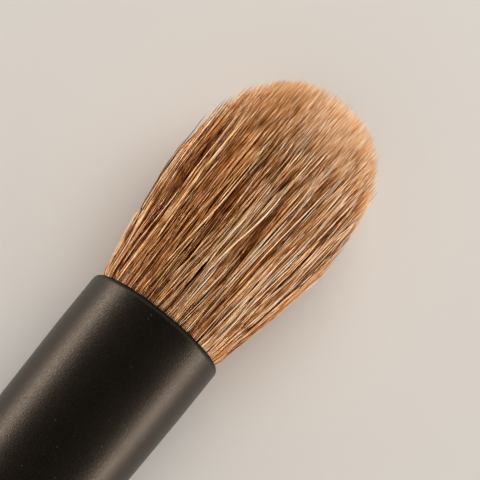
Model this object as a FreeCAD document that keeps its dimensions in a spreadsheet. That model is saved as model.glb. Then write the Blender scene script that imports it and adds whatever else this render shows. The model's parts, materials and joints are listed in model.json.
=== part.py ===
import FreeCAD, Part
import Sketcher
import os

# Round eyeshadow brush: an oval head of natural hair, lashed and potted in a tapered metal
# ferrule with a rolled-in lip, which is crimped onto the tenon of a slim turned handle.
# Every piece is turned about its own Z axis. Height 0 is the mouth of the ferrule, the hair
# stands above it and the handle hangs below it. The finished brush is laid down on its side,
# so that it rests on the belly of the hair and on the butt of the handle, hair towards +X.

document = FreeCAD.newDocument("EyeshadowBrush")

# Driving dimensions in millimetres
sizes = {
    # Ferrule
    "mouthDiameter": 8.0,
    "mouthLand": 3.5,
    "lipRadius": 0.33,
    "lipWidth": 0.36,
    "wallThickness": 0.3,
    "ferruleLength": 32.0,
    "rearDiameter": 7.1,
    "crimpWidth": 1.0,
    "crimpDepth": 0.22,
    "crimpInset": 2.4,
    "crimpSpacing": 2.2,
    # Hair
    "hairLength": 15.1,
    "bellyDiameter": 9.74,
    "bellyHeight": 8.3,
    "flareDiameter": 7.5,
    "flareHeight": 0.5,
    "rootDepth": 12.0,
    "pressDepth": 0.2,
    # Lashing round the roots
    "bindingSetback": 2.6,
    "bindingWidth": 2.6,
    "threadThickness": 0.35,
    "bindingCrown": 0.08,
    # Resin behind the roots
    "plugLength": 3.0,
    "meniscusDepth": 0.5,
    # Handle
    "tenonGap": 2.95,
    "tenonChamfer": 0.5,
    "tenonFit": 0.03,
    "shoulderRound": 0.15,
    "swellDiameter": 7.16,
    "swellDistance": 16.0,
    "slimDiameter": 5.3,
    "slimDistance": 73.0,
    "buttDiameter": 4.2,
    "handleLength": 120.0,
    # Glue round the tenon
    "glueSetback": 0.4,
    # Clearances
    "softFit": 0.05,
    "glueFit": 0.02,
}

# Places that follow from the driving dimensions
layout = {
    "mouthRadius": "=Sizes.mouthDiameter / 2",
    "rearRadius": "=Sizes.rearDiameter / 2",
    "taperSlope": "=(mouthRadius - rearRadius) / (Sizes.ferruleLength - Sizes.mouthLand)",
    "lipCentreRadius": "=mouthRadius - Sizes.lipRadius",
    "throatRadius": "=mouthRadius - Sizes.lipWidth",
    "neckRadius": "=throatRadius - Sizes.softFit",
    "shellAtRoots": "=mouthRadius - taperSlope * (Sizes.rootDepth - Sizes.mouthLand)",
    "rootRadius": "=shellAtRoots - Sizes.wallThickness - Sizes.softFit",
    "waistRadius": "=rootRadius - Sizes.threadThickness",
    "bindingDepth": "=Sizes.rootDepth - Sizes.bindingSetback - Sizes.bindingWidth",
    "bellyRadius": "=Sizes.bellyDiameter / 2",
    "flareRise": "=bellyRadius - Sizes.flareDiameter / 2",
    "flareRun": "=Sizes.bellyHeight - Sizes.flareHeight",
    "flareChord": "=sqrt(flareRise ^ 2 + flareRun ^ 2)",
    "flareArcRadius": "=flareChord ^ 2 / (2 * flareRise)",
    "flareArcRise": "=flareArcRadius - sqrt(flareArcRadius ^ 2 - flareChord ^ 2 / 4)",
    "domeLength": "=Sizes.hairLength - Sizes.bellyHeight",
    "tenonRadius": "=rearRadius - Sizes.wallThickness - Sizes.tenonFit",
    "plugFront": "=Sizes.rootDepth + Sizes.softFit",
    "plugRear": "=plugFront + Sizes.plugLength",
    "tenonDepth": "=plugRear + Sizes.tenonGap",
    "buttRadius": "=Sizes.buttDiameter / 2",
    "buttDepth": "=Sizes.ferruleLength + Sizes.handleLength - buttRadius",
    # The brush rests on two round forms: the flare arc under the belly, which its weight
    # presses flat, and the round butt
    "restRise": "=flareArcRadius - bellyRadius",
    "restRun": "=Sizes.bellyHeight + buttDepth",
    "restReach": "=sqrt(restRise ^ 2 + restRun ^ 2)",
    "pressedRadius": "=flareArcRadius - Sizes.pressDepth",
    "restTilt": "=asin((pressedRadius - buttRadius) / restReach) - asin(restRise / restReach)",
    "restHeight": "=buttRadius + buttDepth * sin(restTilt)",
    "domeReach": "=sqrt((domeLength * cos(restTilt)) ^ 2 + (bellyRadius * sin(restTilt)) ^ 2)",
    "frontEnd": "=Sizes.bellyHeight * cos(restTilt) + domeReach",
    "buttEnd": "=buttDepth * cos(restTilt) + buttRadius",
    "middleShift": "=(buttEnd - frontEnd) / 2",
}


def makeSheet(name, cells):
    sheet = document.addObject("Spreadsheet::Sheet", name)
    for row, (alias, content) in enumerate(cells.items(), start=1):
        sheet.set(f"A{row}", alias)
        sheet.set(f"B{row}", str(content))
        sheet.setAlias(f"B{row}", alias)
    document.recompute()
    return sheet


makeSheet("Sizes", sizes)
makeSheet("Layout", layout)


def shellRadius(depth):
    # Outer radius of the ferrule's taper at a depth below the mouth
    return f"(Layout.mouthRadius - Layout.taperSlope * ({depth} - Sizes.mouthLand))"


def boreRadius(depth):
    return f"({shellRadius(depth)} - Sizes.wallThickness)"


def crimpDepths():
    # Depths of the two rolled crimps, the rear one first
    rear = "(Sizes.ferruleLength - Sizes.crimpInset)"
    return [rear, f"({rear} - Sizes.crimpSpacing)"]


def originPlane(body, role):
    return [plane for plane in body.Origin.OriginFeatures if plane.Role == role][0]


def makeBody(label):
    body = document.addObject("PartDesign::Body", label)
    body.Label = label
    return body


def layDown(body):
    # Turns the upright piece onto its side, in the pose in which the whole brush rests
    body.Placement = FreeCAD.Placement(FreeCAD.Vector(), FreeCAD.Rotation(FreeCAD.Vector(0, 1, 0), 90))
    body.setExpression("Placement.Rotation.Angle", "90 deg - Layout.restTilt")
    body.setExpression("Placement.Base.x", "Layout.middleShift")
    body.setExpression("Placement.Base.z", "Layout.restHeight")


class HalfSection:
    # Closed half section of a turned piece. A corner is a radius and a height, both written
    # as expressions, with the rise of an arc where the side to the next corner is round.
    # A positive rise bulges to the left of the way that the corners run.

    def __init__(self, body, name):
        self.sketch = body.newObject("Sketcher::SketchObject", name)
        self.sketch.AttachmentSupport = [(originPlane(body, "XZ_Plane"), "")]
        self.sketch.MapMode = "FlatFace"

    def value(self, expression):
        return float(self.sketch.evalExpression(expression))

    def point(self, corner):
        return FreeCAD.Vector(self.value(corner[0]), self.value(corner[1]), 0)

    def bind(self, kind, references, expression):
        constraint = Sketcher.Constraint(kind, *references, self.value(expression))
        index = self.sketch.addConstraint(constraint)
        self.sketch.setExpression(f"Constraints[{index}]", expression)

    def place(self, kind, axis, side, end, expression):
        # Fixes one coordinate of a side's end: zero lies on the axis
        number = self.value(expression)
        if number == 0:
            self.sketch.addConstraint(Sketcher.Constraint("PointOnObject", side, end, axis))
        elif number > 0:
            self.bind(kind, (-1, 1, side, end), expression)
        else:
            self.bind(kind, (side, end, -1, 1), f"-({expression})")

    def addSide(self, corner, following):
        # Returns the side's number and which of its ends the way enters and leaves by
        start = self.point(corner)
        stop = self.point(following)
        if len(corner) == 2:
            return self.sketch.addGeometry(Part.LineSegment(start, stop)), 1, 2
        rise = self.value(corner[2])
        across = stop - start
        leftward = FreeCAD.Vector(-across.y, across.x, 0).normalize()
        radius = (across.Length ** 2 / 4 + rise ** 2) / (2 * abs(rise))
        toCentre = abs(rise) - radius if rise > 0 else radius - abs(rise)
        circle = Part.Circle((start + stop) / 2 + leftward * toCentre, FreeCAD.Vector(0, 0, 1), radius)
        ends = (stop, start) if rise > 0 else (start, stop)
        first, last = [circle.parameter(end) for end in ends]
        side = self.sketch.addGeometry(Part.ArcOfCircle(circle, first, last))
        return (side, 2, 1) if rise > 0 else (side, 1, 2)

    def draw(self, corners):
        followers = corners[1:] + corners[:1]
        sides = [self.addSide(corner, following) for corner, following in zip(corners, followers)]
        for current, following in zip(sides, sides[1:] + sides[:1]):
            joint = Sketcher.Constraint("Coincident", current[0], current[2], following[0], following[1])
            self.sketch.addConstraint(joint)
        for corner, (side, first, last) in zip(corners, sides):
            self.place("DistanceX", -2, side, first, corner[0])
            self.place("DistanceY", -1, side, first, corner[1])
        for corner, following, (side, first, last) in zip(corners, followers, sides):
            if len(corner) == 3:
                chord = f"(({following[0]} - {corner[0]}) ^ 2 + ({following[1]} - {corner[1]}) ^ 2)"
                rise = f"abs({corner[2]})"
                self.bind("Radius", (side,), f"({chord} / 4 + {rise} ^ 2) / (2 * {rise})")
        return self.sketch


def turn(body, name, corners):
    # Full turn of a half section about the piece's axis
    section = HalfSection(body, f"{name}Section").draw(corners)
    revolution = body.newObject("PartDesign::Revolution", name)
    revolution.Profile = section
    revolution.ReferenceAxis = (section, ["V_Axis"])
    revolution.Angle = 360
    section.Visibility = False
    return revolution


def setOnAxis(body, feature, height):
    # Carries a primitive or a sketch on the piece's axis, at a height above the mouth
    feature.AttachmentSupport = [(originPlane(body, "XY_Plane"), "")]
    feature.MapMode = "FlatFace"
    feature.setExpression("AttachmentOffset.Base.z", height)


def roundEdge(body, base, name, radius, height, size):
    # Rounds the circular edge of the given radius that lies at the given height
    document.recompute()
    wanted = FreeCAD.Vector(float(base.evalExpression(radius)), 0, float(base.evalExpression(height)))
    offsets = []
    for number, edge in enumerate(base.Shape.Edges, start=1):
        if edge.isClosed() and not edge.Degenerated:
            start = edge.Vertexes[0].Point
            found = FreeCAD.Vector(start.x, start.y, 0).Length, start.z
            offsets.append((FreeCAD.Vector(found[0], 0, found[1]).distanceToPoint(wanted), number))
    fillet = body.newObject("PartDesign::Fillet", name)
    fillet.Base = (base, [f"Edge{min(offsets)[1]}"])
    fillet.setExpression("Radius", size)
    return fillet


def makeFerrule():
    # Drawn tube: straight land at the mouth, long taper, lip rolled in over the hair,
    # and two crimps rolled into the wall near the rear
    body = makeBody("ferrule")
    mouth = "Layout.mouthRadius"
    land = "Sizes.mouthLand"
    lip = "Sizes.lipRadius"
    length = "Sizes.ferruleLength"
    halfCrimp = "Sizes.crimpWidth / 2"
    throatDrop = "(Layout.lipCentreRadius - Layout.throatRadius)"
    throatHeight = f"(sqrt({lip} ^ 2 - {throatDrop} ^ 2) - {lip})"
    lipChord = f"sqrt(({mouth} - Layout.throatRadius) ^ 2 + ({throatHeight} + {lip}) ^ 2)"
    lipRise = f"({lip} - sqrt({lip} ^ 2 - {lipChord} ^ 2 / 4))"
    corners = [
        (mouth, f"-{land}"),
        (mouth, f"-{lip}", f"-{lipRise}"),
        ("Layout.throatRadius", throatHeight),
        (f"{mouth} - Sizes.wallThickness", f"-{lip}"),
        (f"{mouth} - Sizes.wallThickness", f"-{land}"),
    ]
    for centre in reversed(crimpDepths()):
        front = f"({centre} - {halfCrimp})"
        rear = f"({centre} + {halfCrimp})"
        corners.append((boreRadius(front), f"-{front}", "-Sizes.crimpDepth"))
        corners.append((boreRadius(rear), f"-{rear}"))
    corners.append((boreRadius(length), f"-{length}"))
    corners.append((shellRadius(length), f"-{length}"))
    for centre in crimpDepths():
        front = f"({centre} - {halfCrimp})"
        rear = f"({centre} + {halfCrimp})"
        corners.append((shellRadius(rear), f"-{rear}", "Sizes.crimpDepth"))
        corners.append((shellRadius(front), f"-{front}"))
    turn(body, "Shell", corners)
    return body


def makeHairBundle():
    # The knot: roots drawn in by the lashing, neck pressed together in the throat of the lip,
    # hairs flaring to a soft belly, and an oval dome of tapered tips
    body = makeBody("hair_bundle")
    recess = "Sizes.softFit"
    top = f"(Layout.bindingDepth - {recess})"
    bottom = f"(Layout.bindingDepth + Sizes.bindingWidth + {recess})"
    roots = turn(body, "Roots", [
        ("0", "-Sizes.rootDepth"),
        ("Layout.rootRadius", "-Sizes.rootDepth"),
        ("Layout.rootRadius", f"-({bottom} + Sizes.threadThickness)"),
        ("Layout.waistRadius", f"-{bottom}"),
        ("Layout.waistRadius", f"-{top}"),
        ("Layout.rootRadius", f"-({top} - Sizes.threadThickness)"),
        ("Layout.neckRadius", "0"),
        ("Sizes.flareDiameter / 2", "Sizes.flareHeight", "-Layout.flareArcRise"),
        ("Layout.bellyRadius", "Sizes.bellyHeight"),
        ("0", "Sizes.bellyHeight"),
    ])
    dome = body.newObject("PartDesign::AdditiveEllipsoid", "Dome")
    setOnAxis(body, dome, "Sizes.bellyHeight")
    dome.setExpression("Radius1", "Layout.domeLength")
    dome.setExpression("Radius2", "Layout.bellyRadius")
    dome.setExpression("Radius3", "Layout.bellyRadius")
    dome.Angle1 = 0
    dome.Angle2 = 90
    pressBelly(body)
    return body


def pressBelly(body):
    # The soft hair lies flat on the surface: a block below the surface takes off the little
    # that the weight of the brush presses in. The surface is tilted against the brush's axis.
    block = body.newObject("PartDesign::SubtractiveBox", "PressedBelly")
    block.AttachmentSupport = [(originPlane(body, "XY_Plane"), "")]
    block.MapMode = "FlatFace"
    block.AttachmentOffset = FreeCAD.Placement(FreeCAD.Vector(), FreeCAD.Rotation(FreeCAD.Vector(0, 1, 0), 1))
    block.setExpression("AttachmentOffset.Rotation.Angle", "Layout.restTilt")
    block.setExpression("AttachmentOffset.Base.x", "Layout.restHeight * cos(Layout.restTilt)")
    block.setExpression("AttachmentOffset.Base.y", "-Layout.bellyRadius")
    block.setExpression("AttachmentOffset.Base.z", "-Layout.restHeight * sin(Layout.restTilt)")
    block.setExpression("Length", "Layout.bellyRadius")
    block.setExpression("Width", "2 * Layout.bellyRadius")
    block.setExpression("Height", "Sizes.hairLength")


def makeBindingThread():
    # Band of thread wound tight into the waist of the roots
    body = makeBody("binding_thread")
    inner = "(Layout.waistRadius + Sizes.glueFit)"
    outer = "(Layout.rootRadius - Sizes.bindingCrown)"
    top = "-Layout.bindingDepth"
    bottom = "-(Layout.bindingDepth + Sizes.bindingWidth)"
    turn(body, "Winding", [
        (inner, bottom),
        (outer, bottom, "-Sizes.bindingCrown"),
        (outer, top),
        (inner, top),
    ])
    return body


def makeRootPlug():
    # Resin cast behind the cut roots, with a hollow rear face where it crept up the wall
    body = makeBody("root_plug")
    front = "Layout.plugFront"
    rear = "Layout.plugRear"
    rim = f"({boreRadius(rear)} - Sizes.glueFit)"
    turn(body, "Casting", [
        ("0", f"-{rear}"),
        (rim, f"-{rear}"),
        (f"{boreRadius(front)} - Sizes.glueFit", f"-{front}"),
        ("0", f"-{front}"),
    ])
    hollow = body.newObject("PartDesign::SubtractiveSphere", "Meniscus")
    radius = f"({rim} ^ 2 + Sizes.meniscusDepth ^ 2) / (2 * Sizes.meniscusDepth)"
    setOnAxis(body, hollow, f"Sizes.meniscusDepth - {rear} - {radius}")
    hollow.setExpression("Radius", radius)
    return body


def makeHandleGlue():
    # Glue in the wedge-shaped gap between the straight tenon and the tapered bore
    body = makeBody("handle_glue")
    front = "(Layout.tenonDepth + Sizes.tenonChamfer + Sizes.glueSetback)"
    rear = f"({crimpDepths()[1]} - Sizes.crimpWidth / 2 - Sizes.glueSetback)"
    turn(body, "Sleeve", [
        ("Layout.tenonRadius + Sizes.glueFit", f"-{rear}"),
        (f"{boreRadius(rear)} - Sizes.glueFit", f"-{rear}"),
        (f"{boreRadius(front)} - Sizes.glueFit", f"-{front}"),
        ("Layout.tenonRadius + Sizes.glueFit", f"-{front}"),
    ])
    return body


def makeHandle():
    # Turned wood: tenon with the crimps pressed into it, shoulder flush with the ferrule,
    # faint swell, long taper and a round butt
    body = makeBody("handle")
    tenon = "Layout.tenonRadius"
    halfCrimp = "Sizes.crimpWidth / 2"
    corners = [
        ("0", "-Sizes.ferruleLength"),
        (tenon, "-Sizes.ferruleLength"),
    ]
    for centre in crimpDepths():
        front = f"({centre} - {halfCrimp})"
        rear = f"({centre} + {halfCrimp})"
        ridge = f"({boreRadius(centre)} - Sizes.crimpDepth)"
        corners.append((tenon, f"-{rear}", f"({tenon} - {ridge} + Sizes.tenonFit)"))
        corners.append((tenon, f"-{front}"))
    corners += [
        (tenon, "-(Layout.tenonDepth + Sizes.tenonChamfer)"),
        (f"{tenon} - Sizes.tenonChamfer", "-Layout.tenonDepth"),
        ("0", "-Layout.tenonDepth"),
    ]
    turn(body, "Tenon", corners)
    stations = [
        ("Shoulder", "Layout.rearRadius", "Sizes.ferruleLength"),
        ("Swell", "Sizes.swellDiameter / 2", "Sizes.ferruleLength + Sizes.swellDistance"),
        ("Slim", "Sizes.slimDiameter / 2", "Sizes.ferruleLength + Sizes.slimDistance"),
        ("Butt", "Layout.buttRadius", "Layout.buttDepth"),
    ]
    sections = []
    for name, radius, depth in stations:
        section = body.newObject("Sketcher::SketchObject", f"{name}Section")
        setOnAxis(body, section, f"-({depth})")
        size = float(section.evalExpression(radius))
        section.addGeometry(Part.Circle(FreeCAD.Vector(), FreeCAD.Vector(0, 0, 1), size))
        section.addConstraint(Sketcher.Constraint("Coincident", 0, 3, -1, 1))
        section.addConstraint(Sketcher.Constraint("Radius", 0, size))
        section.setExpression("Constraints[1]", radius)
        section.Visibility = False
        sections.append(section)
    grip = body.newObject("PartDesign::AdditiveLoft", "Grip")
    grip.Profile = sections[0]
    grip.Sections = sections[1:]
    grip.Ruled = False
    butt = body.newObject("PartDesign::AdditiveSphere", "Butt")
    setOnAxis(body, butt, "-Layout.buttDepth")
    butt.setExpression("Radius", "Layout.buttRadius")
    roundEdge(body, butt, "ShoulderRound", "Layout.rearRadius", "-Sizes.ferruleLength", "Sizes.shoulderRound")
    return body


def checkDocument(bodies):
    for item in document.Objects:
        if "Invalid" in item.State or "Error" in item.State:
            raise RuntimeError(f"{item.Label} failed: {item.State}")
    for body in bodies:
        if body.Shape.isNull() or not body.Shape.isValid():
            raise RuntimeError(f"{body.Label} has no valid shape")
        if len(body.Shape.Solids) != 1:
            raise RuntimeError(f"{body.Label} has {len(body.Shape.Solids)} solids")


makers = [makeFerrule, makeHairBundle, makeBindingThread, makeRootPlug, makeHandleGlue, makeHandle]
bodies = [make() for make in makers]
for body in bodies:
    layDown(body)
document.recompute()
checkDocument(bodies)

os.makedirs("parts", exist_ok=True)
for body in bodies:
    body.Shape.exportStep(f"parts/{body.Label}.step")
    print(body.Label, "volume", round(body.Shape.Volume, 2), "faces", len(body.Shape.Faces))
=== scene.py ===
import bpy
import json
import math
import numpy as np
from mathutils import Matrix, Vector, kdtree


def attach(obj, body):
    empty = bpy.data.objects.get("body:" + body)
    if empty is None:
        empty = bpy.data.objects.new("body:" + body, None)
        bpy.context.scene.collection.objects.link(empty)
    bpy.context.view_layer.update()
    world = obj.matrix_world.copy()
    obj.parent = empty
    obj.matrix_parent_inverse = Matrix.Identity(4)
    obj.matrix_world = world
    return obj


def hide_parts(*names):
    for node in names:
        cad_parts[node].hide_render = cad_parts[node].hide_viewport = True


# Eyeshadow brush at rest on its side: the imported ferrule, handle and inner pieces get their
# finishes, and the hair grows strand by strand in place of the plain solid that stands in for it.
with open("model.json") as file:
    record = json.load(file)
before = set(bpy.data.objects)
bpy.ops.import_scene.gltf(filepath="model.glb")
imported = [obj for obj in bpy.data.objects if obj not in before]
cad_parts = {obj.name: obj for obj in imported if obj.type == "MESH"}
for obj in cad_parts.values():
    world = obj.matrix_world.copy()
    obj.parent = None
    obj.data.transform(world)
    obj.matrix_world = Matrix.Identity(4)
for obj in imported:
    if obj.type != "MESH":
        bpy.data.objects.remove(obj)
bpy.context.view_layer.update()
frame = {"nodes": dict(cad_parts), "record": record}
print("frame loaded:", ", ".join(frame["nodes"]))

# The brush's own axis, taken from the mount on the ferrule
seat = {"depth": 0.00195}  # how far the mount lies behind the mouth
mount = frame["record"]["mounts"][0]
along = -Vector(mount["axis"]).normalized()
side = Vector((0, 1, 0))
upward = along.cross(side).normalized()
mouth = Vector(mount["pos_m"]) + along * seat["depth"]


# Shader maths
class Reading:
    # A number that varies over a surface
    def __init__(self, tree, socket):
        self.tree = tree
        self.socket = socket

    def worked(self, operation, first, second):
        node = self.tree.nodes.new("ShaderNodeMath")
        node.operation = operation
        for place, term in enumerate((first, second)):
            if isinstance(term, Reading):
                self.tree.links.new(term.socket, node.inputs[place])
            else:
                node.inputs[place].default_value = term
        return Reading(self.tree, node.outputs[0])

    def __add__(self, other):
        return self.worked("ADD", self, other)

    def __radd__(self, other):
        return self.worked("ADD", other, self)

    def __sub__(self, other):
        return self.worked("SUBTRACT", self, other)

    def __rsub__(self, other):
        return self.worked("SUBTRACT", other, self)

    def __mul__(self, other):
        return self.worked("MULTIPLY", self, other)

    def __rmul__(self, other):
        return self.worked("MULTIPLY", other, self)

    def __abs__(self):
        return self.worked("ABSOLUTE", self, 0)


class Graph:
    # A node tree and the one way in which its nodes are made
    def __init__(self, tree):
        self.tree = tree

    def add(self, kind, settings=(), sockets=(), output=0):
        node = self.tree.nodes.new("ShaderNode" + kind)
        for name, setting in dict(settings).items():
            if name == "stops":
                ramp = node.color_ramp
                while len(ramp.elements) < len(setting):
                    ramp.elements.new(0.5)
                for stop, (place, colour) in zip(ramp.elements, setting):
                    stop.position = place
                    stop.color = (*colour, 1)
            else:
                setattr(node, name, setting)
        for name, term in dict(sockets).items():
            if isinstance(term, Reading):
                self.tree.links.new(term.socket, node.inputs[name])
            else:
                node.inputs[name].default_value = term
        return Reading(self.tree, node.outputs[output])

    def slope(self, term, low, high):
        # From 0 at one value to 1 at the other, without a kink
        sockets = {"Value": term, "From Min": low, "From Max": high}
        return self.add("MapRange", {"interpolation_type": "SMOOTHSTEP"}, sockets)


class Finish(Graph):
    # A material
    def __init__(self, name, **uniform):
        self.material = bpy.data.materials.new(name)
        self.material.use_nodes = True
        super().__init__(self.material.node_tree)
        self.shader = self.tree.nodes["Principled BSDF"]
        for socket, amount in uniform.items():
            self.shader.inputs[socket.replace("_", " ")].default_value = amount

    def place(self, stretch=(1, 1, 1)):
        # Object coordinates turned so that X runs along the brush
        spot = self.add("TexCoord", output="Object")
        tilt = math.asin(along.z)
        settings = {"vector_type": "POINT"}
        sockets = {"Vector": spot, "Rotation": (0, tilt, 0), "Scale": stretch}
        return self.add("Mapping", settings, sockets)

    def noise(self, spot, scale, detail):
        return self.add("TexNoise", {}, {"Vector": spot, "Scale": scale, "Detail": detail})

    def mask(self, term, outer, inner):
        # Black at the outer value and white at the inner one
        stops = sorted([(outer, (0, 0, 0)), (inner, (1, 1, 1))])
        return self.add("ValToRGB", {"stops": stops}, {"Fac": term})

    def blend(self, share, first, second):
        sockets = {0: share, 6: first, 7: second}
        return self.add("Mix", {"data_type": "RGBA"}, sockets, output=2)

    def bump(self, height, distance, strength=1.0):
        sockets = {"Height": height, "Distance": distance, "Strength": strength}
        return self.add("Bump", {}, sockets)

    def feed(self, **links):
        for socket, term in links.items():
            self.tree.links.new(term.socket, self.shader.inputs[socket.replace("_", " ")])


def clearSelection():
    if bpy.context.object and bpy.context.object.mode != "OBJECT":
        bpy.ops.object.mode_set(mode="OBJECT")
    bpy.ops.object.select_all(action="DESELECT")


def dress(node, finish):
    for slot in bpy.data.objects[node].material_slots:
        slot.material = finish.material


# Ferrule: drawn metal, blasted and blackened
ferrule = {
    "colour": (0.0024, 0.0018, 0.0014, 1),
    "worn": (0.0080, 0.0062, 0.0048, 1),
    "sheen": (1.0, 0.80, 0.62, 1),
    "sheenLevel": 0.36,
    "roughness": 0.39,
    "grit": 0.00007,  # width of one blasted pit
    "gritDepth": 0.000010,
    "grain": 0.22,  # how much the roughness differs from pit to pit
    "wornPits": (0.60, 0.74),  # pits above the first are worn a little, above the second fully
    "wornShare": 0.7,
    "patches": 420.0,  # per metre, where the black is a little thicker or thinner
    "patchShare": 0.15,
    "patchRoughness": 0.06,
    "lipDepth": 0.00034,  # the turned-in lip, which the blasting leaves duller
    "lipRoughness": 0.50,
    "lipMetal": 0.75,  # bare black metal mirrors less than the blasted coat
    "speckSpacing": 0.0006,  # between the few bright specks, which are painted glints
    "speckSize": 0.00004,
    "speckCore": 0.6,  # share of a speck's size that is fully bright
    "paintedGlintColour": (0.05, 0.045, 0.04, 1),
}


def blastedBlack():
    sheen = {"Specular_IOR_Level": ferrule["sheenLevel"], "Specular_Tint": ferrule["sheen"]}
    finish = Finish("blastedBlack", **sheen)
    spot = finish.place()
    pits = finish.noise(spot, 1 / ferrule["grit"], detail=1.0)
    patches = finish.noise(spot, ferrule["patches"], detail=2.0)
    worn = finish.mask(pits, *ferrule["wornPits"])
    share = worn * ferrule["wornShare"] + patches * ferrule["patchShare"]
    coat = finish.blend(share, ferrule["colour"], ferrule["worn"])
    # Painted glints: a few bright specks blended into the coat's colour
    size = ferrule["speckSize"] / ferrule["speckSpacing"]
    cells = {"Vector": spot, "Scale": 1 / ferrule["speckSpacing"]}
    paintedGlints = finish.mask(finish.add("TexVoronoi", {}, cells), size, size * ferrule["speckCore"])
    colour = finish.blend(paintedGlints, coat, ferrule["paintedGlintColour"])
    height = finish.add("SeparateXYZ", {}, {0: spot}, output="X")
    top = mouth.dot(along)
    lip = finish.slope(height, top - ferrule["lipDepth"], top)
    rough = ferrule["roughness"] - ferrule["patchRoughness"] / 2
    rough = rough + patches * ferrule["patchRoughness"] + (pits - 0.5) * ferrule["grain"]
    rough = rough + lip * ferrule["lipRoughness"]
    bump = finish.bump(pits, ferrule["gritDepth"])
    metal = lip * ferrule["lipMetal"]
    finish.feed(Base_Color=colour, Roughness=rough, Metallic=metal, Normal=bump)
    return finish


dress("ferrule", blastedBlack())
print("ferrule finished")

# Handle: turned wood under black lacquer
handle = {
    "colour": (0.0060, 0.0052, 0.0048, 1),
    "grainColour": (0.0110, 0.0090, 0.0076, 1),
    "grainShare": 0.8,
    "sheenLevel": 0.36,
    "coat": 0.1,
    "coatRoughness": 0.25,
    "roughness": 0.37,
    "unevenness": 0.06,  # what the grain and the dust each add to the roughness
    "grainStretch": 0.05,  # width of the grain over its length
    "grains": 5200.0,  # per metre across
    "dust": 6000.0,  # specks per metre
    "peel": 0.0009,  # width of the ripples that the lacquer dries with
    "peelBump": 0.7,
    "grainBump": 0.3,
    "bumpDepth": 0.000012,
}


def blackLacquer():
    lacquer = {"Coat_Weight": handle["coat"], "Coat_Roughness": handle["coatRoughness"]}
    finish = Finish("blackLacquer", Specular_IOR_Level=handle["sheenLevel"], **lacquer)
    lengthwise = finish.place((handle["grainStretch"], 1, 1))
    spot = finish.place()
    grain = finish.noise(lengthwise, handle["grains"], detail=4.0)
    peel = finish.noise(spot, 1 / handle["peel"], detail=1.0)
    dust = finish.noise(spot, handle["dust"], detail=2.0)
    colour = finish.blend(grain * handle["grainShare"], handle["colour"], handle["grainColour"])
    rough = handle["roughness"] + grain * handle["unevenness"] + dust * handle["unevenness"]
    height = peel * handle["peelBump"] + grain * handle["grainBump"]
    bump = finish.bump(height, handle["bumpDepth"])
    finish.feed(Base_Color=colour, Roughness=rough, Normal=bump)
    return finish


dress("handle", blackLacquer())
print("handle finished")

# Pieces inside the ferrule
inside = {
    "thread": (0.62, 0.56, 0.46, 1),
    # painted shade in the grooves between the turns
    "threadGrooveShade": (0.36, 0.30, 0.22, 1),
    "threadPitch": 0.00035,
    "threadRoughness": 0.75,
    "threadWander": 0.15,
    "threadDepth": 0.00008,
    "fibres": 14000.0,  # per metre
    "fibreShare": 0.3,
    "resin": (0.48, 0.26, 0.09, 1),
    "resinDeep": (0.27, 0.12, 0.03, 1),
    "resinRoughness": 0.22,
    "glue": (0.74, 0.69, 0.58, 1),
    "glueShade": (0.60, 0.54, 0.42, 1),
    "glueRoughness": 0.4,
    "gloss": 0.3,  # of both castings
    "clouds": 900.0,  # per metre, in both castings
    "bubbles": 2600.0,  # per metre
    "bubbleRim": (0.22, 0.10),  # from the edge of a bubble to its floor
    "bubbleDepth": 0.00005,
    "bubbleStrength": 0.6,
}
waveUnit = 20  # a wave texture multiplies its coordinate by this


def lashedThread():
    finish = Finish("lashedThread", Roughness=inside["threadRoughness"])
    spot = finish.place()
    turns = 1 / (inside["threadPitch"] * waveUnit) * 2 * math.pi
    kind = {"wave_type": "BANDS", "bands_direction": "X", "wave_profile": "SIN"}
    sockets = {"Vector": spot, "Scale": turns, "Distortion": inside["threadWander"]}
    wound = finish.add("TexWave", kind, sockets, output="Fac")
    fibre = finish.noise(spot, inside["fibres"], detail=3.0)
    # Painted shade: the thread is darker in the grooves between its turns, and its fibres vary at
    # random
    share = wound * (1 - inside["fibreShare"]) + fibre * inside["fibreShare"]
    colour = finish.blend(share, inside["threadGrooveShade"], inside["thread"])
    finish.feed(Base_Color=colour, Normal=finish.bump(share, inside["threadDepth"]))
    return finish


def castResin(name, pale, deep, roughness):
    finish = Finish(name, Roughness=roughness, Coat_Weight=inside["gloss"])
    spot = finish.place()
    cloud = finish.noise(spot, inside["clouds"], detail=4.0)
    bubbles = finish.add("TexVoronoi", {}, {"Vector": spot, "Scale": inside["bubbles"]})
    beads = finish.mask(bubbles, *inside["bubbleRim"])
    colour = finish.blend(cloud, pale, deep)
    height = cloud * 0.5 - beads * 0.5
    bump = finish.bump(height, inside["bubbleDepth"], inside["bubbleStrength"])
    finish.feed(Base_Color=colour, Normal=bump)
    return finish


dress("binding_thread", lashedThread())
resin = castResin("rootResin", inside["resin"], inside["resinDeep"], inside["resinRoughness"])
dress("root_plug", resin)
glue = castResin("tenonGlue", inside["glue"], inside["glueShade"], inside["glueRoughness"])
dress("handle_glue", glue)
print("inner pieces finished")

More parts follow.
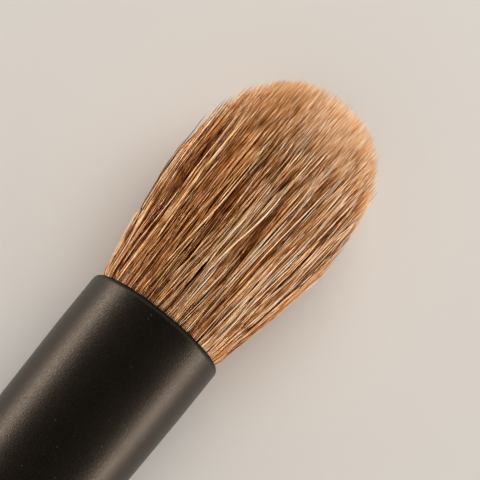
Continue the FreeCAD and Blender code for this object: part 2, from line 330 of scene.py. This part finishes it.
# Hair, with lengths in millimetres above the mouth of the ferrule until the strands are placed.
# A pair of heights, or of shares of one, says where something begins and where it is full.
hair = {
    "seed": 11,
    "strands": 14500,
    "perTuft": 1000,
    "thickness": 0.053,
    "thicknessSpread": 0.26,
    "darkThickness": 0.85,  # share of the thickness that the darkest hairs have
    "paleThicker": 0.3,  # and how much more of it the palest have
    "tipTaper": (0.60, 6),  # how much thinner the tip is, and how late it thins
    # The bundle's outline
    "rootEnd": -12.0,
    "waist": (-9.45, -6.75),
    "neck": (-0.5, 0.0),
    "flareTop": 0.5,
    "rootRadius": 3.45,
    "waistRadius": 3.10,
    "neckRadius": 3.58,
    "flareRadius": 3.78,
    "flareBulge": 0.3,  # 0 is a straight flare
    "bellyHeight": 8.3,
    "bellyRadius": 4.86,
    "domeLength": 6.6,
    "domeFullness": 2.4,  # 2 is an ellipse, more is squarer
    "opening": 0.05,  # share of the belly's radius that the outer hairs go on spreading to the tip
    "coreSpread": 0.06,  # how fast the head as a whole widens, while its flanks spread further
    "flankPower": 5.0,  # the more, the fewer hairs go with the flanks
    "sideLean": 0.33,  # the head leans a little to one side
    "leanHeight": 15.0,
    "leanPower": 1.3,
    "floorGap": 0.09,
    # Where the hairs stand and end
    "edgeShare": 0.40,  # below a half, more strands lie near the outside
    "lengthSpread": 0.30,
    "lockLengthSpread": 0.13,
    "lengthRange": (-1.3, 0.2),
    "longShare": 0.10,  # hairs that stand out of the dome
    "longest": 0.5,
    "lowestTip": 1.4,  # below the belly
    # How neighbours lie together
    "locks": 1700,
    "lockPull": 0.34,
    "lockPullRange": (0.1, 1.9),  # from lock to lock
    "strongestPull": 0.85,
    "gathering": (0.0, 3.0),
    "parting": (7.0, 13.0),
    "partingShare": 0.6,
    "tipPull": 0.3,
    # How they stray
    "drift": 0.062,
    "driftPower": 1.2,
    "strayShare": 0.18,
    "strayDrift": 0.13,
    "strayLift": 0.018,  # how far strays stand off the outline, as a share of the radius
    "strayLifting": (0.0, 4.0),
    "outlineSlack": 1.004,
    "crossing": 0.064,  # how far hairs cross their neighbours as they leave the lip
    "crossingTop": 6.5,
    "crossingShares": (0.8, 0.6),  # of a whole lock, and of each hair in it
    "waveLengths": (7.0, 12.0, 19.0),
    "lockWave": 0.007,
    "wave": 0.012,
    "waveHeight": 2.0,  # where the waves have their full size
    "calming": (8.5, 13.0),
    "calmingShare": 0.6,
    # Their tones, with painted shade and painted light
    "toneShape": (0.58, 0.46),  # below 1, more hairs are dark or pale than between the two
    "darkStreak": (0.44, 0.24, 0.30),  # where across the bundle, how wide, how many hairs it turns
    # painted light: a paler streak where the middle of the head gets little light
    "paintedLightStreak": (-0.14, 0.22, 0.24),
    "greySpread": 0.18,
    "greyFading": (7.5, 10.5),
    "greyFadingShare": 0.85,
    "buriedDepth": 0.06,  # share of the radius at which a hair counts as inside the bundle
    # painted shade on the hairs inside the bundle, and on the base of the head
    "buriedShade": 0.70,
    "surfacing": (-2.4, -0.2),  # counted from its tip, where a buried hair comes to light
    "base": (1.0, 9.0),  # where the painted shade at the base of the head gives way
    "baseShade": 0.14,
    "baseBuriedShade": 0.22,
    "baseShadow": 0.18,
    "mouthShadow": 0.25,  # share of that shadow right at the mouth
    "shadowHeight": 1.4,  # where it is full
    "tipFading": (0.90, 1.0),  # shares of a hair's height
    "tipFade": 0.25,
    # painted light at the crown, where light comes through the hairs
    "crown": (9.5, 14.5),
    "litCrownFade": 0.75,
    # Their material
    "roughness": 0.32,
    "sheenLevel": 0.75,
    "glint": (1.0, 0.60, 0.34, 1),
    "mottles": 6000.0,  # per metre across
    "mottleStretch": 0.24,  # width of a mottle over its length
    "mottleAndGlintDepth": 0.8,
    "tipPaler": 0.10,
    "crownShare": 0.36,
    "litCrownColour": (1.0, 0.54, 0.25, 1),
    "shadowColour": (0.02, 0.006, 0.002, 1),
    "golden": [
        (0.00, (0.038, 0.004, 0.0004)),
        (0.25, (0.230, 0.055, 0.006)),
        (0.50, (0.600, 0.240, 0.056)),
        (0.75, (0.950, 0.590, 0.290)),
        (1.00, (0.990, 0.850, 0.670)),
    ],
    "ashen": [
        (0.00, (0.044, 0.007, 0.001)),
        (0.25, (0.250, 0.070, 0.014)),
        (0.50, (0.620, 0.264, 0.080)),
        (0.75, (0.960, 0.630, 0.360)),
        (1.00, (0.990, 0.870, 0.730)),
    ],
}
millimetre = 0.001
# A hair's rings: heights up to the mouth, then shares of its free length
rootRings = [hair["rootEnd"], *hair["waist"], *hair["neck"]]
freeRings = np.array([0, 0.07, 0.16, 0.27, 0.39, 0.51, 0.62, 0.72, 0.81, 0.89, 0.95, 1.0])
ringCount = len(rootRings) + len(freeRings) - 1
midRing = len(rootRings) + 3  # the ring that tells where in the bundle a hair lies
bakeColumns = 125  # of the UV map, which has a cell for each strand
bakeRows = math.ceil(hair["perTuft"] / bakeColumns)
bakeMargin = 0.03  # of a cell's height
chance = np.random.default_rng(hair["seed"])


def modelStrand():
    # One hair by hand: a three-sided spike, cut into rings
    clearSelection()
    shape = {"vertices": 3, "radius1": 1, "radius2": 0, "depth": 1}
    bpy.ops.mesh.primitive_cone_add(**shape, location=(0, 0, 0.5))
    spike = bpy.context.object
    bpy.ops.object.mode_set(mode="EDIT")
    for ring in range(1, ringCount):
        bpy.ops.mesh.select_all(action="SELECT")
        bpy.ops.mesh.bisect(plane_co=(0, 0, ring / ringCount), plane_no=(0, 0, 1))
    bpy.ops.object.mode_set(mode="OBJECT")
    bpy.ops.object.transform_apply(location=True)
    return spike


def between(amount, low, high):
    # Eased from 0 at one value to 1 at the other
    share = np.clip((amount - low) / (high - low), 0, 1)
    return share * share * (3 - 2 * share)


def bundleRadius(height):
    # Outside of the bundle at a height above the mouth
    rise = np.clip((height - hair["flareTop"]) / (hair["bellyHeight"] - hair["flareTop"]), 0, 1)
    reach = hair["bellyRadius"] - hair["flareRadius"]
    bulge = 1 + hair["flareBulge"] - hair["flareBulge"] * rise ** 3
    flare = hair["flareRadius"] + reach * rise * bulge
    over = np.clip((height - hair["bellyHeight"]) / hair["domeLength"], 0, None)
    opened = hair["bellyRadius"] * (1 + hair["opening"] * over)
    stations = [*rootRings, hair["flareTop"]]
    parts = ("root", "waist", "waist", "root", "neck", "flare")
    gathered = np.interp(height, stations, [hair[f"{part}Radius"] for part in parts])
    return np.where(height < hair["flareTop"], gathered, np.where(over > 0, opened, flare))


def carry(spread, height):
    # From shares of the radius to millimetres off the axis: upwards in full, but sideways most
    # hairs stay nearly parallel and only the flanks go out with the outline
    outside = bundleRadius(height)
    core = np.minimum(outside, hair["neckRadius"] + hair["coreSpread"] * np.clip(height, 0, None))
    flank = np.minimum(np.abs(spread[..., 1]), 1) ** hair["flankPower"]
    sideways = spread[..., 1] * (core + (outside - core) * flank)
    return np.stack([spread[..., 0] * outside, sideways], axis=-1)


def domeHeight(end):
    # Height at which a strand meets the dome, found in a few rounds because a strand spreads on
    height = np.full(len(end), hair["bellyHeight"])
    power = hair["domeFullness"]
    for _ in range(8):
        within = np.linalg.norm(carry(end, height), axis=1) / hair["bellyRadius"]
        left = np.clip(1 - within ** power, 0, None) ** (1 / power)
        height = hair["bellyHeight"] + hair["domeLength"] * left
    return height


def scatter(count):
    # Random places in a disc of radius 1
    turn = chance.uniform(0, 2 * math.pi, count)
    share = chance.uniform(0, 1, count) ** hair["edgeShare"]
    return np.stack([share * np.cos(turn), share * np.sin(turn)], axis=1)


def findLocks(start, locks):
    # The lock that each hair belongs to
    tree = kdtree.KDTree(len(locks))
    for number, lock in enumerate(locks):
        tree.insert((*lock, 0), number)
    tree.balance()
    return np.array([tree.find((*spot, 0))[1] for spot in start])


def ripple(heights, size, which, count):
    # Gentle bends to and fro, shared by the hairs of one lock or each hair's own
    bend = np.zeros((*heights.shape, 2))
    for axis in range(2):
        for length in hair["waveLengths"]:
            phase = chance.uniform(0, 2 * math.pi, count)[which][:, None]
            swing = chance.normal(0, size, count)[which][:, None]
            bend[:, :, axis] += swing * np.sin(heights * 2 * math.pi / length + phase)
    return bend


def ringHeights(end, lock):
    # A hair's tip lies near the dome, a little short of it or beyond
    count = len(end)
    end = end / np.maximum(np.linalg.norm(end, axis=1), 1)[:, None]
    uneven = chance.normal(0, hair["lengthSpread"], count)
    uneven += chance.normal(0, hair["lockLengthSpread"], hair["locks"])[lock]
    uneven = np.clip(uneven, *hair["lengthRange"])
    long = chance.uniform(0, 1, count) < hair["longShare"]
    uneven[long] = chance.uniform(0, hair["longest"], int(long.sum()))
    tip = np.maximum(domeHeight(end) + uneven, hair["bellyHeight"] - hair["lowestTip"])
    free = hair["flareTop"] + (tip[:, None] - hair["flareTop"]) * freeRings[None, :]
    fixed = np.tile(np.array(rootRings), (count, 1))
    return np.concatenate([fixed, free], axis=1)


def growPaths():
    count = hair["strands"]
    start = scatter(count)
    # Neighbouring hairs lie together in locks, with gaps between, and part again at the tips
    locks = scatter(hair["locks"])
    lock = findLocks(start, locks)
    pull = hair["lockPull"] * chance.uniform(*hair["lockPullRange"], hair["locks"])
    pull = np.clip(pull, 0, hair["strongestPull"])[lock]
    gather = (locks[lock] - start) * pull[:, None]
    drift = chance.normal(0, hair["drift"], (count, 2))
    strays = chance.uniform(0, 1, count) < hair["strayShare"]
    drift[strays] = chance.normal(0, hair["strayDrift"], (int(strays.sum()), 2))
    heights = ringHeights(start + gather * hair["tipPull"] + drift, lock)
    top = hair["bellyHeight"] + hair["domeLength"]
    progress = np.clip(heights / top, 0, 1) ** hair["driftPower"]
    parted = 1 - hair["partingShare"] * between(heights, *hair["parting"])
    together = between(heights, *hair["gathering"]) * parted
    spread = start[:, None, :] + drift[:, None, :] * progress[:, :, None]
    spread += gather[:, None, :] * together[:, :, None]
    # They cross near the lip, and wave from there on, less so towards the tips
    close = (np.clip(1 - heights / hair["crossingTop"], 0, 1) ** 2)[:, :, None]
    lockCrossing = chance.normal(0, hair["crossing"], (hair["locks"], 2))[lock][:, None, :]
    spread += lockCrossing * close * hair["crossingShares"][0]
    spread += chance.normal(0, hair["crossing"], (count, 1, 2)) * close * hair["crossingShares"][1]
    loose = np.clip(heights / hair["waveHeight"], 0, 1)[:, :, None]
    spread += ripple(heights, hair["lockWave"], lock, hair["locks"]) * loose
    calm = 1 - hair["calmingShare"] * between(heights, *hair["calming"])[:, :, None]
    spread += ripple(heights, hair["wave"], np.arange(count), count) * loose * calm
    # None leaves the outline, but for the strays
    lift = hair["outlineSlack"] + np.abs(chance.normal(0, hair["strayLift"], count)) * strays
    limit = 1 + (lift[:, None] - 1) * between(heights, *hair["strayLifting"])
    outside = np.linalg.norm(spread, axis=2)
    spread /= np.maximum(outside / limit, 1)[:, :, None]
    across = carry(spread, heights)
    lean = np.clip(heights / hair["leanHeight"], 0, 1) ** hair["leanPower"]
    across[:, :, 1] -= hair["sideLean"] * lean
    depth = 1 - np.minimum(outside[:, midRing], 1)
    return heights, across, depth


def placePaths(heights, across):
    axes = np.array([along, upward, side])
    local = np.concatenate([heights[:, :, None], across], axis=2)
    spots = local * millimetre @ axes + np.array(mouth)
    # The brush's weight presses the lowest hairs against the surface below
    spots[:, :, 2] = np.maximum(spots[:, :, 2], hair["floorGap"] * millimetre)
    return spots


def pickTones(across):
    # Pale and dark hairs side by side; one streak darker, one paler as painted light
    tone = chance.beta(*hair["toneShape"], len(across))
    place = across[:, midRing, 1] / hair["bellyRadius"]
    turned = []
    for middle, width, share in (hair["darkStreak"], hair["paintedLightStreak"]):
        turned.append(share * np.exp(-((place - middle) / width) ** 2))
    dark, pale = turned
    return tone * (1 - dark) + (1 - tone) * pale


def bendStrands(template, level, spots, tone):
    # A copy of the spike for every hair, bent along its path
    count = len(spots)
    thick = hair["thickness"] * np.exp(chance.normal(0, hair["thicknessSpread"], count))
    thick = thick * (hair["darkThickness"] + hair["paleThicker"] * tone)
    thinner, late = hair["tipTaper"]
    taper = np.concatenate([np.ones(len(rootRings)), 1 - thinner * freeRings ** late])
    taper[-1] = 0
    radius = thick[:, None] * taper[None, :] * 0.5 * millimetre
    travel = np.gradient(spots, axis=1)
    travel /= np.linalg.norm(travel, axis=2, keepdims=True)
    first = np.cross(travel, np.array(side))
    first /= np.linalg.norm(first, axis=2, keepdims=True)
    second = np.cross(travel, first)
    roll = chance.uniform(0, 2 * math.pi, count)[:, None]
    angle = np.arctan2(template[:, 1], template[:, 0])[None, :] + roll
    offset = first[:, level] * np.cos(angle)[:, :, None]
    offset += second[:, level] * np.sin(angle)[:, :, None]
    return spots[:, level] + offset * radius[:, level][:, :, None]


def shadeHairs(heights, across, depth, tone):
    # One side of the head is greyer, and less so towards the crown
    greying = 0.5 - across[:, midRing, 1] / (2 * hair["bellyRadius"])
    greying = np.clip(greying + chance.normal(0, hair["greySpread"], len(across)), 0, 1)
    fading = hair["greyFadingShare"] * between(heights, *hair["greyFading"])
    # Painted shade: hairs inside the bundle are darker, most of all near the ferrule
    tips = heights[:, -1:]
    surfaced = between(heights - tips, *hair["surfacing"])
    buried = np.clip(depth / hair["buriedDepth"], 0, 1)[:, None] * (1 - surfaced)
    base = 1 - between(heights, *hair["base"])
    dark = (hair["buriedShade"] + hair["baseBuriedShade"] * base) * buried
    # Painted shadow over the base of the head, weaker right at the mouth
    full = between(heights, 0.0, hair["shadowHeight"])
    full = hair["mouthShadow"] + (1 - hair["mouthShadow"]) * full
    # Hairs are paler at their own tips, and the crown is made palest with painted light
    fade = hair["tipFade"] * between(heights / tips, *hair["tipFading"])
    fade += hair["litCrownFade"] * between(heights, *hair["crown"])
    return {
        # each hair's own tone, darkened by the painted shade
        "tone": tone[:, None] * (1 - dark) * (1 - hair["baseShade"] * base),
        "greying": greying[:, None] * (1 - fading),
        "fade": fade,
        "shadow": hair["baseShadow"] * base * full,
    }


def unwrapStrand(faces, template, level):
    # The spike's corners in its cell: 0 to 1 across each face, and 0 to 1 from root to tip. The
    # face that closes the root is a sliver along the cell's edge.
    turns = np.arctan2(template[:, 1], template[:, 0])
    corners = []
    for face in faces:
        turned = [turns[v] for v in face if level[v] < ringCount]
        low = min(turned) if max(turned) - min(turned) < math.pi else max(turned)
        isRootEnd = len(set(level[list(face)])) == 1
        for v in face:
            if level[v] == ringCount:
                corners.append((0.5, 1.0))
            else:
                rise = 0.01 * v if isRootEnd else level[v] / ringCount
                corners.append((0.0 if abs(turns[v] - low) < 0.01 else 1.0, rise))
    return np.array(corners)


def sewTuft(number, points, faces, corners, shades, finish):
    # Hairs in one mesh, each with its cell of the UV map and its shades
    size = points.shape[1]
    hairs = np.arange(len(points))
    allFaces = [tuple(v + k * size for v in face) for k in hairs.tolist() for face in faces]
    mesh = bpy.data.meshes.new(f"hair_tuft_{number}")
    mesh.from_pydata(points.reshape(-1, 3).tolist(), [], allFaces)
    mesh.shade_smooth()
    cells = np.stack([hairs % bakeColumns, hairs // bakeColumns + bakeMargin], axis=1)
    layout = corners * np.array([1.0, 1 - 2 * bakeMargin]) + cells[:, None, :]
    layout = (layout / np.array([bakeColumns, bakeRows])).astype(np.float32)
    mesh.uv_layers.new(name="OFBake").data.foreach_set("uv", layout.ravel())
    for name, amounts in shades.items():
        shade = mesh.attributes.new(name, "FLOAT", "POINT")
        shade.data.foreach_set("value", amounts.astype(np.float32).ravel())
    mesh.materials.append(finish.material)
    tuft = bpy.data.objects.new(mesh.name, mesh)
    bpy.context.collection.objects.link(tuft)
    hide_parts("hair_bundle")
    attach(tuft, "root")
    return tuft


def growTufts(spike, finish):
    template = np.array([vertex.co for vertex in spike.data.vertices])
    level = np.rint(template[:, 2] * ringCount).astype(int)
    faces = [tuple(face.vertices) for face in spike.data.polygons]
    corners = unwrapStrand(faces, template, level)
    bpy.data.objects.remove(spike)
    heights, across, depth = growPaths()
    tone = pickTones(across)
    points = bendStrands(template, level, placePaths(heights, across), tone)
    shades = shadeHairs(heights, across, depth, tone)
    tufts = []
    for begin in range(0, len(points), hair["perTuft"]):
        some = slice(begin, begin + hair["perTuft"])
        own = {name: amounts[some][:, level] for name, amounts in shades.items()}
        tufts.append(sewTuft(len(tufts) + 1, points[some], faces, corners, own, finish))
    return tufts


def naturalHair():
    sheen = {"Specular_IOR_Level": hair["sheenLevel"], "Specular_Tint": hair["glint"]}
    finish = Finish("naturalHair", Roughness=hair["roughness"], **sheen)
    names = ("tone", "greying", "fade", "shadow")
    shades = [finish.add("Attribute", {"attribute_name": name}, output="Fac") for name in names]
    tone, greying, fade, shadow = shades
    # Mottles along each hair: its own uneven colour, partly painted glints
    lengthwise = finish.place((hair["mottleStretch"], 1, 1))
    mottleAndGlints = finish.noise(lengthwise, hair["mottles"], detail=2.0)
    shade = tone + (mottleAndGlints - 0.5) * hair["mottleAndGlintDepth"] + fade * hair["tipPaler"]
    golden = finish.add("ValToRGB", {"stops": hair["golden"]}, {"Fac": shade})
    ashen = finish.add("ValToRGB", {"stops": hair["ashen"]}, {"Fac": shade})
    shaft = finish.blend(greying, golden, ashen)
    # Painted light: the crown is blended towards a pale, warm colour
    crown = finish.blend(fade * hair["crownShare"], shaft, hair["litCrownColour"])
    finish.feed(Base_Color=finish.blend(shadow, crown, hair["shadowColour"]))
    return finish


tufts = growTufts(modelStrand(), naturalHair())
print("hair grown:", hair["strands"], "strands in", len(tufts), "tufts")

# Camera
view = {
    "distance": 0.300,
    "lens": 438.0,
    "leanBack": 10.73,  # degrees that the view leans towards the handle
    "roll": 51.03,  # degrees between the brush and the picture's lower edge
    "mouthOffset": (-0.004245, -0.004228),  # where the ferrule's mouth lies from the middle
    "clip": (0.01, 20),
}

# Studio
studio = {
    "floorColour": (0.82, 0.805, 0.78, 1),
    "floorRadius": 1.1,
    "floorRoughness": 0.9,
    "floorSheen": 0.1,
    "tentColour": (1.0, 0.965, 0.92, 1),
    "frontLight": 1.7,  # of the panel before the tips
    "rearLight": 0.6,  # of the panel behind the butt
    "gapLight": 0.03,
    "tentGap": (0.28, 0.60),  # half width of the ring between the panels, and where they are full
    "tentTurn": 0.1,  # half width of the zone in which the front light gives way to the rear one
    "backdropColour": (1.0, 0.985, 0.96, 1),
    "backdrop": 0.80,
    "lampColour": (1.0, 0.93, 0.86),
    "stripSize": (1.56, 0.12),
    "leftStrip": (0.05, 1.30, 0.065),
    "leftPower": 21.5,
    "rightStrip": (0.05, -1.30, 0.065),
    "rightPower": 20.5,
    "ceiling": (0.75, 0.0, 1.1),
    "ceilingSize": (1.2, 1.2),
    "ceilingPower": 8.0,
}


def layFloor():
    clearSelection()
    radius = studio["floorRadius"]
    bpy.ops.mesh.primitive_circle_add(vertices=128, radius=radius, fill_type="NGON")
    floor = bpy.context.object
    floor.name = "studio_floor"
    paper = {"Base_Color": studio["floorColour"], "Specular_IOR_Level": studio["floorSheen"]}
    finish = Finish("palePaper", Roughness=studio["floorRoughness"], **paper)
    floor.data.materials.append(finish.material)


def lightTent():
    # Soft panels before and behind the brush, with a dark ring between them that the ferrule
    # mirrors, and a plain backdrop for the camera
    world = bpy.data.worlds.new("studio")
    bpy.context.scene.world = world
    world.use_nodes = True
    graph = Graph(world.node_tree)

    def glow(colour, strength):
        return graph.add("Background", {}, {"Color": studio[colour], "Strength": studio[strength]})

    def mix(share, first, second):
        return graph.add("MixShader", {}, {0: share, 1: first, 2: second})

    towards = graph.add("TexCoord", output="Generated")
    heading = graph.add("SeparateXYZ", {}, {0: towards}, output="X")
    turn = {"From Min": -studio["tentTurn"], "From Max": studio["tentTurn"]}
    ahead = graph.add("MapRange", {}, {"Value": heading, **turn})
    panel = mix(ahead, glow("tentColour", "rearLight"), glow("tentColour", "frontLight"))
    away = abs(heading - math.sin(math.radians(view["leanBack"])))
    full = graph.slope(away, *studio["tentGap"])
    tent = mix(full, glow("tentColour", "gapLight"), panel)
    isSeen = graph.add("LightPath", output="Is Camera Ray")
    shown = mix(isSeen, tent, glow("backdropColour", "backdrop"))
    graph.tree.links.new(shown.socket, graph.tree.nodes["World Output"].inputs["Surface"])


def hangLamp(name, spot, size, power):
    data = bpy.data.lights.new(name, "AREA")
    data.shape = "RECTANGLE"
    data.size, data.size_y = size
    data.energy = power
    data.color = studio["lampColour"]
    lamp = bpy.data.objects.new(name, data)
    lamp.location = Vector(spot)
    lamp.rotation_euler = (mouth - Vector(spot)).to_track_quat("-Z", "Y").to_euler()
    lamp.visible_camera = False
    bpy.context.collection.objects.link(lamp)
    return lamp


layFloor()
lightTent()
hangLamp("left_strip", studio["leftStrip"], studio["stripSize"], studio["leftPower"])
hangLamp("right_strip", studio["rightStrip"], studio["stripSize"], studio["rightPower"])
ceiling = hangLamp("ceiling", studio["ceiling"], studio["ceilingSize"], studio["ceilingPower"])
ceiling.visible_glossy = False  # the black pieces don't mirror it
print("studio lit")


def setCamera():
    lean = math.radians(view["leanBack"])
    roll = math.radians(view["roll"])
    towards = along * -math.sin(lean) + upward * math.cos(lean)
    run = (along - towards * along.dot(towards)).normalized()
    beside = towards.cross(run)
    right = run * math.cos(roll) - beside * math.sin(roll)
    top = run * math.sin(roll) + beside * math.cos(roll)
    offRight, offTop = view["mouthOffset"]
    spot = mouth - right * offRight - top * offTop + towards * view["distance"]
    turn = Matrix((right, top, towards)).transposed().to_4x4()
    data = bpy.data.cameras.new("camera")
    data.lens = view["lens"]
    data.clip_start, data.clip_end = view["clip"]
    camera = bpy.data.objects.new("camera", data)
    camera.matrix_world = Matrix.Translation(spot) @ turn
    bpy.context.collection.objects.link(camera)
    bpy.context.scene.camera = camera


setCamera()
bpy.context.scene.view_settings.view_transform = "Standard"
